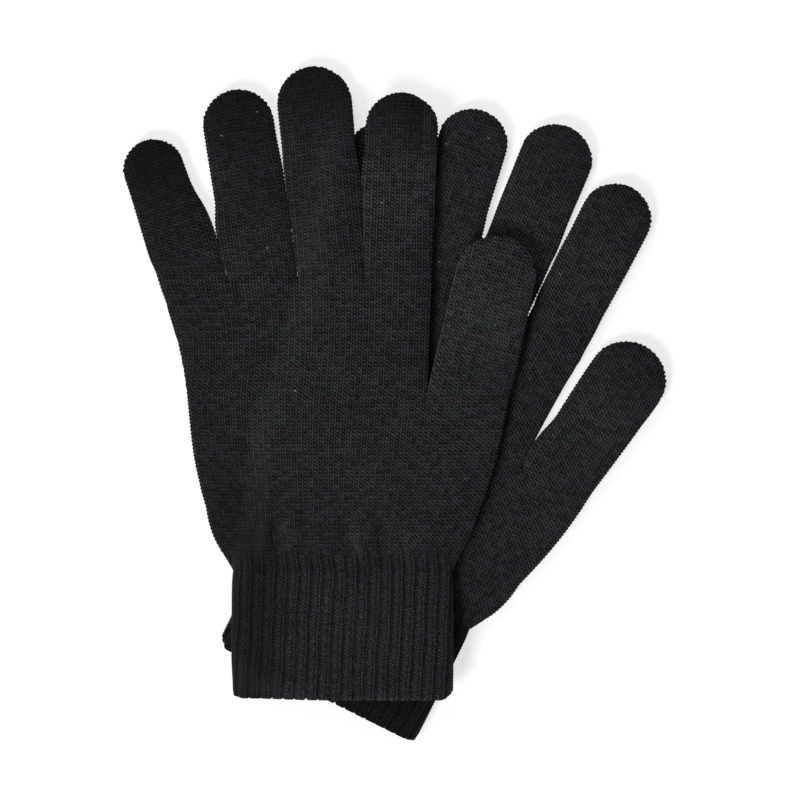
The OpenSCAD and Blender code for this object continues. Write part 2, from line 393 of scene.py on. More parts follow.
def nearing(y, end, run=VALLEY):
    """From 0 to 1 over the run that ends at end."""
    return smooth((y - end + run) / run)


def spaced(n, step):
    """0, step, 2 step and so on, and n."""
    keep = list(range(0, n, step))
    if n - keep[-1] < step / 2 and len(keep) > 1:
        keep.pop()
    return np.array(keep + [n])


# ---- the hand: one shell from wrist to knuckles, open to the cuff, thumb and fingers ----

# how far the knit swells beyond its outline: on the left, and left and right above the cuff
FULLER = ((0.0, 0.8, 1.5), (1.2, 1.5, 0.4))
SLACK_FROM, SWELL_RUN = 82.0, 24.0
TUCKED = (1.2, 0.0)  # how far the hand draws in between its thumb and knuckles
WALE_SHIFT = 0.3  # where in a wale the fold at the hand's edge lies
EDGE_PAINTED_SHADE, EDGE_RUN = (0.92, 0.7), 34.0  # painted shade at each hand's left edge, and its reach
FOOT_PAINTED_SHADE, FOOT_X, FOOT_RUN = (0.85, 0.5), -33.0, 17.0  # painted shade by the cuff, left of FOOT_X
BEND, BEND_Y = 7.0, 122.0  # how far the wales bend outwards above BEND_Y
SLACK = 0.3  # height of the slow waves in the hand
FOOT_FROM, FOOT_UP = 60.0, 40.0  # where the painted shade by the cuff starts to give way, and how far up


def hand_left(g, y):
    slack = FULLER[g][0] * hump((y - SLACK_FROM) / (KNUCKLE_Y - SLACK_FROM))
    return left_x(y) - slack - FULLER[g][1] * hump((y - CUFF_LEN) / SWELL_RUN)


def hand_right(g, y):
    return gusset_x(g, y) + FULLER[g][2] * hump((y - CUFF_LEN) / SWELL_RUN)


def hand_index(g, y):
    return index_x(y) - TUCKED[g] * hump((y - THUMB_Y) / (KNUCKLE_Y - THUMB_Y)) ** 0.7


def crotch_share(g):
    low = left_x(THUMB_Y)
    return (CROTCH_SIDE - low) / (gusset_x(g, THUMB_Y) - low)


def wale_at(g, x, y):
    """Which wale crosses a point of the hand."""
    low, high = hand_left(g, y), hand_right(g, y)
    below = PALM_WALES * (x - low) / (high - low)
    crotch = PALM_WALES * crotch_share(g)
    t = np.clip((y - THUMB_Y) / (KNUCKLE_Y - THUMB_Y), 0, 1)
    count = mix(crotch, (LITTLE_SIDE + INDEX_SIDE) / KNUCKLE_PITCH, t)
    rising = smooth((y - BEND_Y) / (KNUCKLE_Y - BEND_Y))
    bend = BEND * rising ** 2 * np.clip(-x / LITTLE_SIDE, 0, 1) ** 2
    above = crotch - count * (hand_index(g, y) - x - bend) / (hand_index(g, y) - low)
    return np.where(y < THUMB_Y, below, above) + WALE_SHIFT


# painted shade by the cuff: darker left of FOOT_X
def foot_painted_shade(g, x):
    return mix(FOOT_PAINTED_SHADE[g], 1, smooth((x - FOOT_X) / FOOT_RUN))


# painted shade: darker towards the hand's left edge and by the cuff
def hand_painted_shading(g, x, y):
    foot = 1 - smooth((y - FOOT_FROM) / FOOT_UP)
    side = mix(EDGE_PAINTED_SHADE[g], 1, smooth((x - hand_left(g, y)) / EDGE_RUN))
    return mix(side, foot_painted_shade(g, x), foot)


RIB_LEAN = 0.05  # how far a rib moves aside for each millimetre of cuff
STRAY, WAVER = 0.035, 0.025  # shares of a rib that it strays in long and short waves
GROOVE_DEPTH, GROOVE_LUCK = 0.72, 0.28  # mean depth of the grooves, and how it varies
GROOVE_LEFT, GROOVE_RIGHT = 0.5, 0.45  # what is left of it at the cuff's two ends
GROOVE_MORE = 0.06  # share of a rib that a groove takes from the rib before it


def rib_phase(t, y):
    """The rib, and the place in it from 0 to 1, at share t across the cuff or the hand."""
    lean = RIB_LEAN * RIBS / CUFF_W * np.minimum(y - CUFF_LEN, 0)
    wander = STRAY * np.sin(y / 6.3 + 9 * t) + WAVER * np.sin(y / 2.9 + 31 * t)
    return RIBS * t - lean + wander * smooth((CUFF_LEN + 6 - y) / 8)


def rib_groove(phase, y):
    """How deep the groove is at a place in a rib, from 0 to 1."""
    f, t = fract(phase), phase / RIBS
    depth = GROOVE_DEPTH + GROOVE_LUCK * np.sin(2.4 * np.floor(phase) + y / 9)
    depth = depth * mix(GROOVE_LEFT, 1, smooth(t / 0.28))
    depth = depth * mix(1, GROOVE_RIGHT, smooth((t - 0.66) / 0.12))
    place = (f - RIB_SHARE + GROOVE_MORE) / (1 - RIB_SHARE + GROOVE_MORE)
    return np.clip(hump(place), 0, 1) * depth


# middle across and along, height and half-width of each pucker over the cuff
FOLDS = ((-25.7, 61, -1.7, 1.6), (14.5, 60.5, -1.7, 2.2), (0, 62, -1.0, 2.2),
         (-15, 68, -0.8, 2.0), (-29.5, 58, 1.0, 1.8), (-20.5, 62, 1.0, 2.6),
         (6, 60, 1.3, 2.6), (24, 59, 0.7, 3.0))
FOLD_RISE, FOLD_LEAN = 7.0, 0.12  # half the length of a pucker, and how it leans
FOLD_SHADE = 0.4  # how much painted highlight a millimetre of fold gets, and painted shade a millimetre of dip
DIP, DIP_Y, DIP_RUN = 0.45, 51.0, 4.0  # of the hollow that runs across above the cuff


def puckers(x, y):
    """Heights of the folds that rise from the cuff."""
    high = 0
    for middle, at, size, spread in FOLDS:
        across = (x - middle + (y - at) * FOLD_LEAN) / spread
        high = high + size * np.exp(-across ** 2 - ((y - at) / FOLD_RISE) ** 2)
    return high


def wrist_dip(y):
    """Height of the hollow between cuff and hand."""
    return -DIP * np.exp(-((y - DIP_Y) / DIP_RUN) ** 2)


def hand_folds(g, x, y):
    """Heights of that hollow, and of the slack above it."""
    slack = SLACK * np.sin(x / 9 + y / 31 + g) * np.sin(y / 17 + 1.3 * g)
    return wrist_dip(y) + slack * smooth((y - 60) / 20) * (1 - smooth((y - 140) / 14))


def pinch_at(x, y):
    """How closely a point of the hand is drawn in at a crotch, from 0 to 1."""
    near = 0
    for middle, end in [(v, KNUCKLE_Y) for v in FINGER_EDGE[1:4]] + [(CROTCH_SIDE, THUMB_Y)]:
        reach = nearing(y, end) * (y <= end)
        near = np.maximum(near, np.exp(-((x - middle) / 1.0) ** 2) * reach)
    return near


def hand_points(g, y, t_hand, lobes, t_thumb, side, inset=0.0):
    """A face of the hand at heights y. side is 1 for its top and -1 for its back."""
    y = y[:, None]
    lo, hi = hand_left(g, y) + inset, hand_right(g, y) - inset
    above = y > THUMB_Y
    crotch = mix(hand_left(g, y), hand_right(g, y), crotch_share(g))
    crotch = np.where(above, hand_index(g, y) - inset, crotch)
    tuck = SPLIT * nearing(y, KNUCKLE_Y, TUCK_RUN)
    tuck_thumb = SPLIT * nearing(y, THUMB_Y, TUCK_RUN)
    x_hand = mix(lo + tuck, crotch - tuck, t_hand[None, :])
    x_thumb = mix(crotch + 2 * SPLIT, hi - tuck_thumb, t_thumb[None, :])
    near_thumb, near_fingers = nearing(y, THUMB_Y) ** 2, nearing(y, KNUCKLE_Y) ** 2
    alone = dome(2 * (x_hand - lo) / (crotch - lo) - 1, PALM_FLAT)
    h = dome(2 * (x_hand - lo) / (hi - lo) - 1, PALM_FLAT)
    h = mix(h, alone, np.where(above, 1, near_thumb))
    h = mix(h, lobes[None, :], near_fingers)
    h_thumb = mix(dome(2 * (x_thumb - lo) / (hi - lo) - 1, PALM_FLAT),
                  dome(2 * t_thumb - 1, FINGER_FLAT)[None, :], near_thumb)
    x, h = np.concatenate([x_hand, x_thumb], 1), np.concatenate([h, h_thumb], 1)
    half = np.maximum(hand_t(y) / 2 * h - inset, PINCH_IN if inset else PINCH)
    half[:, [0, -1]] = 0
    half[above[:, 0], len(t_hand) - 1] = 0
    z = hand_t(y) / 2 + side * half
    return np.stack(np.broadcast_arrays(x, y, z), -1)


RIBS_RUN, GROOVES_RUN = 9.0, (9.0, 12.0)  # how far the ribs and their grooves run on
RIBS_ASIDE = 0.12  # and how far they lean there per millimetre
GROOVES_LEFT = 0.8  # share of their depth that the grooves keep


def hand_skin(g, p, flat, n, front):
    """The knitted skin over points p, with all that the materials need."""
    x, y = p[..., 0], p[..., 1]
    above = y - CUFF_LEN
    phase = rib_phase((x + CUFF_W / 2 + RIBS_ASIDE * above) / CUFF_W, y)
    ragged = np.sin(7.3 * np.floor(phase)) ** 2
    share = 1 - smooth((above - 3 * ragged) / RIBS_RUN)
    ending = smooth((above + 3) / (GROOVES_RUN[0] + GROOVES_RUN[1] * ragged))
    groove = rib_groove(phase, y) * (1 - ending) * GROOVES_LEFT
    w, c = wale_at(g, x, y), y / COURSE
    press = 1 - PRESSED * pinch_at(x, y)
    if front:
        fine = mix(stitch(fract(w), c), rib_stitch(fract(phase), c), share)
        deep = STITCH_DEPTH * (fine - 1) + STITCH_LIFT + hand_folds(g, x, y) + puckers(x, y)
    else:
        deep = PLAIN_LIFT
    skin = flat + n * (deep * press - RIB_GROOVE * groove)[..., None]
    # the hand's painted shade, with a painted highlight on each pucker and painted shade in its
    # dips
    painted_shading = hand_painted_shading(g, x, y) * (1 + FOLD_SHADE * np.clip(puckers(x, y), -1.5, 1))
    return skin, dict(w=w, c=c, painted_shading=painted_shading, phase=phase, share=share, groove=groove)


def hand_columns(g):
    """The columns of each finger's base, and the shares across the hand of them all."""
    cols = [base_x(g, k) + base_half(g, k) * finger_cols[g][k] for k in range(4)]
    x = np.concatenate(cols)
    return cols, (x - x[0]) / (x[-1] - x[0])


def build_hand(g, materials):
    cols, t_hand = hand_columns(g)
    lobes = np.concatenate([dome(c, FINGER_FLAT) for c in finger_cols[g][:4]])
    t_thumb = (finger_cols[g][THUMB] + 1) / 2
    nh, nt = len(t_hand), len(t_thumb)
    starts = np.concatenate([[0], np.cumsum([len(c) for c in cols])[:-1]])
    keep = np.concatenate([s + spaced(len(c) - 1, INNER_COLS) for s, c in zip(starts, cols)])
    keep_t = spaced(nt - 1, INNER_COLS)
    nk = len(keep)
    split = round((THUMB_Y - CUFF_LEN) / CELL_ROW)
    rows_high = round((KNUCKLE_Y - THUMB_Y) / CELL_ROW)
    y = np.concatenate([np.linspace(CUFF_LEN, THUMB_Y, split + 1),
                        np.linspace(THUMB_Y, KNUCKLE_Y, rows_high + 1)[1:]])
    y_long = np.concatenate([[y[0] - CELL_ROW], y, [y[-1] + CELL_ROW]])
    shell = Shell()

    def outer(pick, pick_t, side):
        p = hand_points(g, y_long, t_hand[pick], lobes[pick], t_thumb[pick_t], side)
        flat = laid(g, p)
        n = side * normals(flat)
        n[split + 2:, :len(pick)] = side * normals(flat[split + 1:, :len(pick)])[1:]
        skin, knit = hand_skin(g, p[1:-1], flat[1:-1], n[1:-1], side > 0)
        return shell.add(skin, **knit)

    top = outer(np.arange(nh), np.arange(nt), 1)
    back = outer(keep, keep_t, -1)
    back[:, 0] = top[:, 0]
    back[:split + 1, -1] = top[:split + 1, -1]
    back[split + 1:, nk - 1] = top[split + 1:, nh - 1]
    shell.sheet(top[:split + 1])
    shell.sheet(top[split:, :nh])
    shell.sheet(back[:split + 1], out=False)
    shell.sheet(back[split:, :nk], out=False)
    shell.put([[top[split, nh - 1], back[split, nk - 1], top[split + 1, nh - 1]]])

    rows = np.concatenate([spaced(split, INNER_ROWS),
                           split + spaced(rows_high, INNER_ROWS)[1:]])
    m = int(np.searchsorted(rows, split))
    a, b = (shell.add(laid(g, p), wale_at(g, p[..., 0], p[..., 1]), p[..., 1] / COURSE) for p in
            (hand_points(g, y[rows], t_hand[keep], lobes[keep], t_thumb[keep_t], side, WALL)
             for side in (1, -1)))
    b[:, 0] = a[:, 0]
    b[:m + 1, -1] = a[:m + 1, -1]
    b[m + 1:, nk - 1] = a[m + 1:, nk - 1]
    for ids, out in ((a, False), (b, True)):
        shell.sheet(ids[:m + 1], out=out, slot=1)
        shell.sheet(ids[m:, :nk], out=out, slot=1)
    shell.put([[a[m, nk - 1], a[m + 1, nk - 1], b[m, nk - 1]]], 1)

    # rims at the wrist, the thumb's mouth and the knuckles
    shell.rim(top[0], a[0], np.concatenate([keep, nh + keep_t]), out=False)
    shell.rim(back[0], b[0], np.arange(nk + len(keep_t)), out=True)
    shell.rim(top[split, nh - 1:], a[m, nk - 1:], np.concatenate([[0], 1 + keep_t]), out=True)
    shell.rim(back[split, nk - 1:], b[m, nk - 1:], np.arange(1 + len(keep_t)), out=False)
    crotch = [top[split, nh - 1], a[m, nk - 1], b[m, nk - 1], back[split, nk - 1]]
    shell.put([crotch], 1, smooth=False)
    shell.rim(top[-1, :nh], a[-1, :nk], keep, out=True)
    shell.rim(back[-1, :nk], b[-1, :nk], np.arange(nk), out=False)
    return drop_unused(shell).make(f"{SIDES[g]}_hand_knit", materials)


def drop_unused(shell):
    """Leaves out the points that no face has."""
    used = np.zeros(shell.count, bool)
    for f in shell.faces:
        used[f.ravel()] = True
    new = np.cumsum(used) - 1
    shell.points = [np.concatenate(shell.points)[used]]
    shell.knit = [np.concatenate(shell.knit)[used]]
    shell.rib = [np.concatenate(shell.rib)[used]]
    shell.count = int(used.sum())
    shell.faces = [new[f] for f in shell.faces]
    return shell


# ---- a finger or thumb, whole or divided where its conductive yarn starts ----

TIP_END = math.radians(88.0)  # how far round its end a tip's rows go


def limb_rows(k, start, stop, tip, step):
    """Pairs of distance along and angle round the rounded end."""
    n = max(1, round((stop - start) / step))
    rows = [(s, 0.0) for s in np.linspace(start, stop, n + 1)]
    if tip:
        r = TIP_W[k] / 2
        m = max(6, round(r * 1.45 / step))
        rows += [(stop, TIP_END * (i / m)) for i in range(1, m + 1)]
    return np.array(rows)


# how far from each crotch two neighbours touch: little and ring, ring and middle, and so on
CLOSED = ((14, 20, 30, 6), (15, 37, 34, -7))
OPENING = 16.0  # length over which they part
TOUCH = 0.05  # half the gap that is left between them
WIDEN_RUN = 0.7  # length over which a limb widens, from the hand's own columns
SQUARE_TO = 0.4  # share of a limb at which its section is square to its axis


def lean_of(g, k):
    return math.radians(LEAN[g][k] + TURNED[g][k])


def turned_at(g, k, s):
    """How far a limb's section is turned at s. At its base it lies along X."""
    return lean_of(g, k) * smooth(s / (SQUARE_TO * cap_at(k)))


def limb_axis(g, k, s):
    lean = lean_of(g, k)
    return base_x(g, k) + s * math.sin(lean), base_y(k) + s * math.cos(lean)


def reach_aside(g, k, s):
    """How far a limb's side is from its axis, along X."""
    return limb_half(g, k, s) / np.cos(turned_at(g, k, s))


def widened(g, k, s, way):
    """How much a limb is widened at s to lie against what is left (-1) or right (1) of it."""
    x, y = limb_axis(g, k, s)
    if k == THUMB and way < 0:
        gap, crotch = x - reach_aside(g, k, s) - hand_index(g, y), 3
    elif k != THUMB and 0 <= k + way <= 3:
        other = k + way
        apart = abs(limb_axis(g, other, s)[0] - x)
        gap = (apart - reach_aside(g, k, s) - reach_aside(g, other, s)) / 2
        crotch = min(k, other)
    else:
        return np.zeros_like(s)
    reach = 1 - smooth((s - CLOSED[g][crotch]) / OPENING)
    return np.maximum(gap - TOUCH, 0) * reach * smooth(s / WIDEN_RUN)


WALES_EVEN = 25.0  # length over which a limb's wales take their own width


def limb_points(g, k, rows, u, side, inset):
    """Points of a limb, with the wale and the course at each."""
    s, phi = rows[:, 0:1], rows[:, 1:2]
    a = turned_at(g, k, s)
    along = (s + (TIP_W[k] / 2 - inset) * np.sin(phi)) * (1 + LONGER[g][k] / FINGER_LEN[k])
    half = (limb_half(g, k, s) - inset) * np.cos(phi)
    thick = (FINGER_T - 2 * inset) * np.cos(phi) ** 0.6
    cx, cy = limb_axis(g, k, along)
    off = half * u[None, :]
    wide = np.where(u[None, :] > 0, widened(g, k, s, 1), widened(g, k, s, -1))
    z = FINGER_T / 2 + side[None, :] * thick / 2 * dome(u, FINGER_FLAT)[None, :]
    foot, foot_y = KNUCKLE_PITCH, base_y(k)
    if k == THUMB:
        foot = (gusset_x(g, THUMB_Y) - left_x(THUMB_Y)) / PALM_WALES
        foot_y -= 1e-6  # just inside the lower part of the hand
    pitch = mix(foot, WALE, smooth(s / WALES_EVEN))
    w = wale_at(g, base_x(g, k), np.array(foot_y)) + off / pitch
    c = (base_y(k) + along) / COURSE
    off = off + wide * np.sign(u) * np.abs(u) ** 3 * np.cos(phi)
    return np.stack([cx + off * np.cos(a), cy - off * np.sin(a), z], -1), w, c


def ring_of(u):
    """Places u across the top and back again below, and 1 or -1 for each."""
    under = u[-2:0:-1]
    return np.concatenate([u, under]), np.concatenate([np.ones(len(u)), -np.ones(len(under))])


# painted light and shade of each finger and thumb of each glove; on the upper glove darker
# towards the little finger, lighter at the thumb
LIMB_PAINTED_SHADING = ((1.0, 1.14, 1.12, 1.16, 1.2), (0.56, 0.74, 0.86, 1.24, 1.52))
SHADING_RUN = 32.0  # length over which the hand's painted shade gives way to that
TIP_PAINTED_SHADE, TIP_RUN = (0.78, 0.36), 34.0  # and to the painted shade at the finger ends, over the last TIP_RUN
RIM_BUMP, SIDE_BUMP = 0.34, 0.1  # how far the stitches stand out round a tip and down a side
RIM_PITCH = 1.85  # width of one such stitch
RIM_FROM, RIM_SPAN = 0.86, 0.14  # share of the half width where they start, and the rest
RIM_TURN = 0.5  # angle round the tip at which they have all their height
LOOP_PAINTED_HIGHLIGHT, LOOP_ELSEWHERE = 0.9, 0.35  # painted highlight on the loops round a tip, and what other tips have of it
LOOP_IN, LOOP_HALF = 1.0, 0.5  # how far in from the edge they lie, and half their width


def limb_skin(g, k, rows, u, side, tip):
    """The knitted skin of a finger or thumb, with all that its material needs."""
    step = rows[1, 0] - rows[0, 0]
    before = rows[0] - [step, 0]
    after = rows[-1] + [0, math.radians(1)] if tip else rows[-1] + [step, 0]
    p, w, c = limb_points(g, k, np.concatenate([[before], rows, [after]]), u, side, 0.0)
    flat = laid(g, p)
    n = normals(flat, round_about=True)[1:-1]
    w, c, flat = w[1:-1], c[1:-1], flat[1:-1]
    s, phi = rows[:, 0:1], rows[:, 1:2]
    along = s + TIP_W[k] / 2 * phi
    edge = smooth((np.abs(u) - RIM_FROM) / RIM_SPAN)[None, :]
    round_end = smooth(phi / RIM_TURN)
    size = mix(SIDE_BUMP, RIM_BUMP, round_end)
    bumps = size * wave(along / RIM_PITCH + 0.1 * np.sin(along * 1.3))
    bumps = bumps * np.maximum(edge, round_end ** 8)
    start = smooth(s / VALLEY)
    slim = SLIMMER[g] * u[None, :] ** 4 * (1 - round_end)
    deep = STITCH_DEPTH * (stitch(fract(w), c) - 1) + STITCH_LIFT + bumps - slim
    deep = deep * mix(1 - PRESSED * edge, 1, start)
    # the upper thumb's end gets the whole painted highlight on its loops, and no painted shade
    bright = g == UPPER and k == THUMB  # the one end whose loops show pale in the photo
    tip_painted_shade = 1.0 if bright else TIP_PAINTED_SHADE[g]
    painted_shading = LIMB_PAINTED_SHADING[g][k] * mix(1, tip_painted_shade, nearing(along, FINGER_LEN[k], TIP_RUN))
    at_base = hand_painted_shading(g, base_x(g, k) + base_half(g, k) * u[None, :], base_y(k))
    painted_shading = mix(at_base, painted_shading, smooth(s / SHADING_RUN))
    inside = TIP_W[k] / 2 * (1 - np.abs(u)[None, :])
    rim = np.exp(-((inside - LOOP_IN) / LOOP_HALF) ** 2) * round_end
    loop_highlight = LOOP_PAINTED_HIGHLIGHT * (1.0 if bright else LOOP_ELSEWHERE)
    # painted highlight on the loops round the tip
    painted_shading = painted_shading * (1 + loop_highlight * rim * wave(along / RIM_PITCH) ** 2)
    return flat + n * deep[..., None], w, c, painted_shading


def build_limb(g, k, start, stop, tip, name, materials):
    u = finger_cols[g][k]
    ring, side = ring_of(u)
    rows = limb_rows(k, start, stop, tip, CELL_ROW)
    skin, w, c, painted_shading = limb_skin(g, k, rows, ring, side, tip)
    shell = Shell()
    ids = shell.add(skin, w, c, painted_shading)

    keep = spaced(len(u) - 1, LIMB_COLS)
    keep = np.concatenate([keep, len(u) - 1 + keep[1:-1]])
    straight = int((rows[:, 1] == 0).sum()) - 1
    coarse = list(spaced(straight, INNER_ROWS))
    if tip:
        coarse += [straight + i for i in spaced(len(rows) - 1 - straight, INNER_ROWS)[1:]]
    q, w_in, c_in = limb_points(g, k, rows[coarse], ring[keep], side[keep], WALL)
    inside = shell.add(laid(g, q), w_in, c_in)
    ends = shell.tube(ids, inside, keep)
    if tip:
        shell.put([list(ids[-1])])
        shell.put([list(inside[-1][::-1])], 1)
    else:
        shell.rim(*ends)
    return shell.make(name, materials)


# ---- the ribbed cuff, its welt and its elastic ----

TAPER_Y, TAPER_RUN = 38.0, 10.0  # where the cuff starts to take the hand's section


def cuff_points(y, t, side, inset):
    """Points of the cuff at heights y and shares t across."""
    y = y[:, None]
    u = 2 * t[None, :] - 1
    k = smooth((y - TAPER_Y) / TAPER_RUN)
    thick = mix(CUFF_T, PALM_T, k)
    h = mix(dome(u, CUFF_FLAT), dome(u, PALM_FLAT), k)
    x = (CUFF_W / 2 - inset) * u
    z = thick / 2 + side[None, :] * (thick / 2 - inset) * h
    return np.stack(np.broadcast_arrays(x, y, z), -1)


def cuff_columns(g):
    """The hand's own columns, so that the two meet point for point."""
    share = crotch_share(g)
    t_hand = hand_columns(g)[1] * share
    t_thumb = mix(share + 2 * SPLIT / CUFF_W, 1, (finger_cols[g][THUMB] + 1) / 2)
    t = np.concatenate([t_hand, t_thumb])
    keep = spaced(len(t) - 1, INNER_COLS)
    under = t[keep][-2:0:-1]
    ring = np.concatenate([t, under])
    side = np.concatenate([np.ones(len(t)), -np.ones(len(under))])
    return ring, side, np.concatenate([keep, np.arange(len(t), len(ring))])


# painted light and shade of each cuff; the lower one darkened by painted shade where the upper
# glove lies over it
CUFF_PAINTED_SHADING = (0.4, 1.18)
LEFT_PAINTED_SHADE, LEFT_RUN = 0.7, 0.07  # painted shade at the cuff's left end, and the share it crosses
HEM_PAINTED_SHADE, HEM_RUN = 0.9, 25.0  # painted shade at the hem, and the length it crosses
RIB_DEPTH = 0.25  # of the stitches in the ribs
CROWN = 0.12  # how much lower a rib's sides are than its middle


def cuff_skin(g, p, t, side):
    """Relief and the values for the material, over points p at shares t across."""
    y = p[..., 1]
    phase = rib_phase(t, y)
    groove = rib_groove(phase, y)
    f = fract(phase)
    c = CUFF_LEN / COURSE - (CUFF_LEN - y) / RIB_COURSE
    round_rib = CROWN * (2 * np.minimum(f / RIB_SHARE, 1) - 1) ** 2
    fine = (RIB_DEPTH * (rib_stitch(f, c) - 1) + STITCH_LIFT) * (1 - groove)
    lift = np.where(side > 0, fine + wrist_dip(y), PLAIN_LIFT)
    relief = -RIB_GROOVE * groove - round_rib + lift
    # painted shade: darker by the cuff's left end and towards the hem
    painted_shading = CUFF_PAINTED_SHADING[g] * foot_painted_shade(g, p[..., 0]) * mix(LEFT_PAINTED_SHADE, 1, smooth(t / LEFT_RUN))
    painted_shading = painted_shading * mix(HEM_PAINTED_SHADE, 1, smooth(y / HEM_RUN))
    w = phase * CUFF_W / RIBS / WALE
    return relief, dict(w=w, c=c, painted_shading=painted_shading, phase=phase, share=1.0, groove=groove)


def build_cuff(g, materials):
    ring, side, keep = cuff_columns(g)
    rows = np.linspace(WELT_LEN, CUFF_LEN, round((CUFF_LEN - WELT_LEN) / CELL_ROW) + 1)
    step = rows[1] - rows[0]
    long = np.concatenate([[rows[0] - step], rows, [rows[-1] + step]])
    p = cuff_points(long, ring, side, 0.0)
    flat = laid(g, p)
    n = normals(flat, round_about=True)[1:-1]
    relief, knit = cuff_skin(g, p[1:-1], ring[None, :], side[None, :])
    shell = Shell()
    ids = shell.add(flat[1:-1] + n * relief[..., None], **knit)
    coarse = spaced(len(rows) - 1, INNER_ROWS)
    q = cuff_points(rows[coarse], ring[keep], side[keep], CUFF_WALL)
    inside = shell.add(laid(g, q), ring[keep] * PALM_WALES, q[..., 1] / RIB_COURSE)
    shell.rim(*shell.tube(ids, inside, keep))
    return shell.make(f"{SIDES[g]}_cuff_rib_knit", materials)


HEM_Y, HEM_ROLL = (0.0, 0.4), 1.1  # where each hem turns under, and how far below it goes
SCALLOP, SCALLOP_DOWN = 0.75, 0.12  # how far the hem is up at each groove, down between
HEM_PAINTED_HIGHLIGHT = 0.8  # painted highlight on the upper hem, right of HEM_LIT
HEM_LIT, LIT_RUN = 0.3, 0.25  # shares of the way across: where that starts, and its growth
HEM_SMOOTH = 0.62  # share of the relief that is left at the hem
CORNER_UP = ((2.0, 0.6), (0.6, 1.7))  # how far the hem's left and right ends are drawn up
CORNER_FROM, CORNER_RUN = 0.92, 0.08  # how far out those ends start, and their length
CORNER_IN = 0.008  # how far in each millimetre of that draws them


def build_welt(g, materials):
    """The doubled edge, rolled under and drawn up into a scallop at each groove."""
    ring, side, _ = cuff_columns(g)
    r = CUFF_WALL / 2
    hem = HEM_Y[g]
    outside = [(y, 0.0) for y in np.linspace(WELT_LEN, hem, 8)]
    roll = [(hem - HEM_ROLL * math.sin(a), r * (1 - math.cos(a)))
            for a in np.radians(range(20, 161, 20))]
    inside = [(y, 2 * r) for y in np.linspace(hem, WELT_LEN, 3)]
    path = outside + roll + inside
    shell, flats, reliefs, knits = Shell(), [], [], []
    for y, inset in path:
        p = cuff_points(np.array([y]), ring, side, inset)[0]
        relief, knit = cuff_skin(g, p, ring, side)
        free = smooth((WELT_LEN - y) / WELT_LEN)
        corner = smooth((np.abs(2 * ring - 1) - CORNER_FROM) / CORNER_RUN) * free
        drawn = np.where(ring < 0.5, *CORNER_UP[g]) * corner
        p[:, 1] += free * (SCALLOP * knit["groove"] - SCALLOP_DOWN) + drawn
        p[:, 0] *= 1 - CORNER_IN * drawn
        flats.append(laid(g, p))
        reliefs.append(relief * (1 - smooth(inset / r)) * mix(1, HEM_SMOOTH, free))
        # painted highlight along the upper glove's hem
        hem_highlight = HEM_PAINTED_HIGHLIGHT * smooth((1.1 - y) / 1.2) * smooth((ring - HEM_LIT) / LIT_RUN)
        knit["painted_shading"] = knit["painted_shading"] * (1 + hem_highlight * (g == UPPER))
        knits.append({k: np.broadcast_to(v, ring.shape) for k, v in knit.items()})
    grid = np.stack(flats)
    above = laid(g, cuff_points(np.array([WELT_LEN + CELL_ROW]), ring, side, 0.0))
    n = normals(np.concatenate([grid[::-1], above]), round_about=True)[:-1][::-1]
    ids = shell.add(grid + n * np.stack(reliefs)[..., None],
                    **{k: np.stack([v[k] for v in knits]) for k in knits[0]})
    wrap = closed(ids)
    shell.sheet(wrap, out=False)
    edge = np.stack([wrap[-1, 1:], wrap[0, 1:], wrap[0, :-1], wrap[-1, :-1]], -1)
    shell.put(edge, 1, smooth=False)
    return shell.make(f"{SIDES[g]}_cuff_welt_knit", materials)


ELASTIC_Y = (7.49, 25.43, 43.37)
THREAD_IN = 0.35  # how far inside the cuff's wall a thread starts
THREAD_WIDE, THREAD_DEEP = 0.55, 0.22  # half its width and half its depth
THREAD_SIDES, THREAD_CELL = 8, 1.6


def build_elastic(g, materials):
    """Covered elastic threads that lie against the inside of the cuff."""
    u = columns(CUFF_W / 2, CUFF_T, CUFF_FLAT, THREAD_CELL)
    ring, side = ring_of(u)
    shell = Shell()
    for y in ELASTIC_Y:
        loop = []
        for a in np.radians(np.arange(0, 360, 360 // THREAD_SIDES)):
            inset = CUFF_WALL + THREAD_IN + THREAD_DEEP * (1 - math.cos(a))
            at = np.array([y + THREAD_WIDE * math.sin(a)])
            loop.append(laid(g, cuff_points(at, (ring + 1) / 2, side, inset)[0]))
        ids = shell.add(np.stack(loop), np.arange(len(ring))[None, :],
                        np.arange(THREAD_SIDES)[:, None] / THREAD_SIDES)
        wrap = closed(ids)
        shell.sheet(np.concatenate([wrap, wrap[:1]]), out=False)
    return shell.make(f"{SIDES[g]}_cuff_elastic_thread", materials)


# ---- closing stitches at the crotches ----

SEED, STITCH_COUNT = 11, 4
YARN_R, YARN_SIDES = 0.2, 8


def build_stitches(g, materials):
    rng = np.random.default_rng(SEED + g)
    shell = Shell()
    spots = [(x, KNUCKLE_Y) for x in FINGER_EDGE[1:4]] + [(CROTCH_SIDE, THUMB_Y)]
    for x0, y0 in spots:
        for i in range(STITCH_COUNT):
            y = y0 + 0.6 - 0.8 * i - 0.4 * rng.random()
            reach = 1.3 - 0.2 * i + 0.5 * rng.random()
            lift = 0.15 - 0.05 * i
            tilt = rng.uniform(-0.6, 0.6)
            t = np.linspace(-1, 1, 13)
            x = x0 + rng.uniform(-1.2, 0.4) + reach * t
            yy = y + tilt * reach * t + 0.3 * (1 - t * t)
            z = hand_height(g, x, yy) + lift - 0.75 * np.abs(t) ** 3
            add_yarn(shell, laid(g, np.stack([x, yy, z], -1)))
    return shell.make(f"{SIDES[g]}_crotch_stitches_yarn", materials)


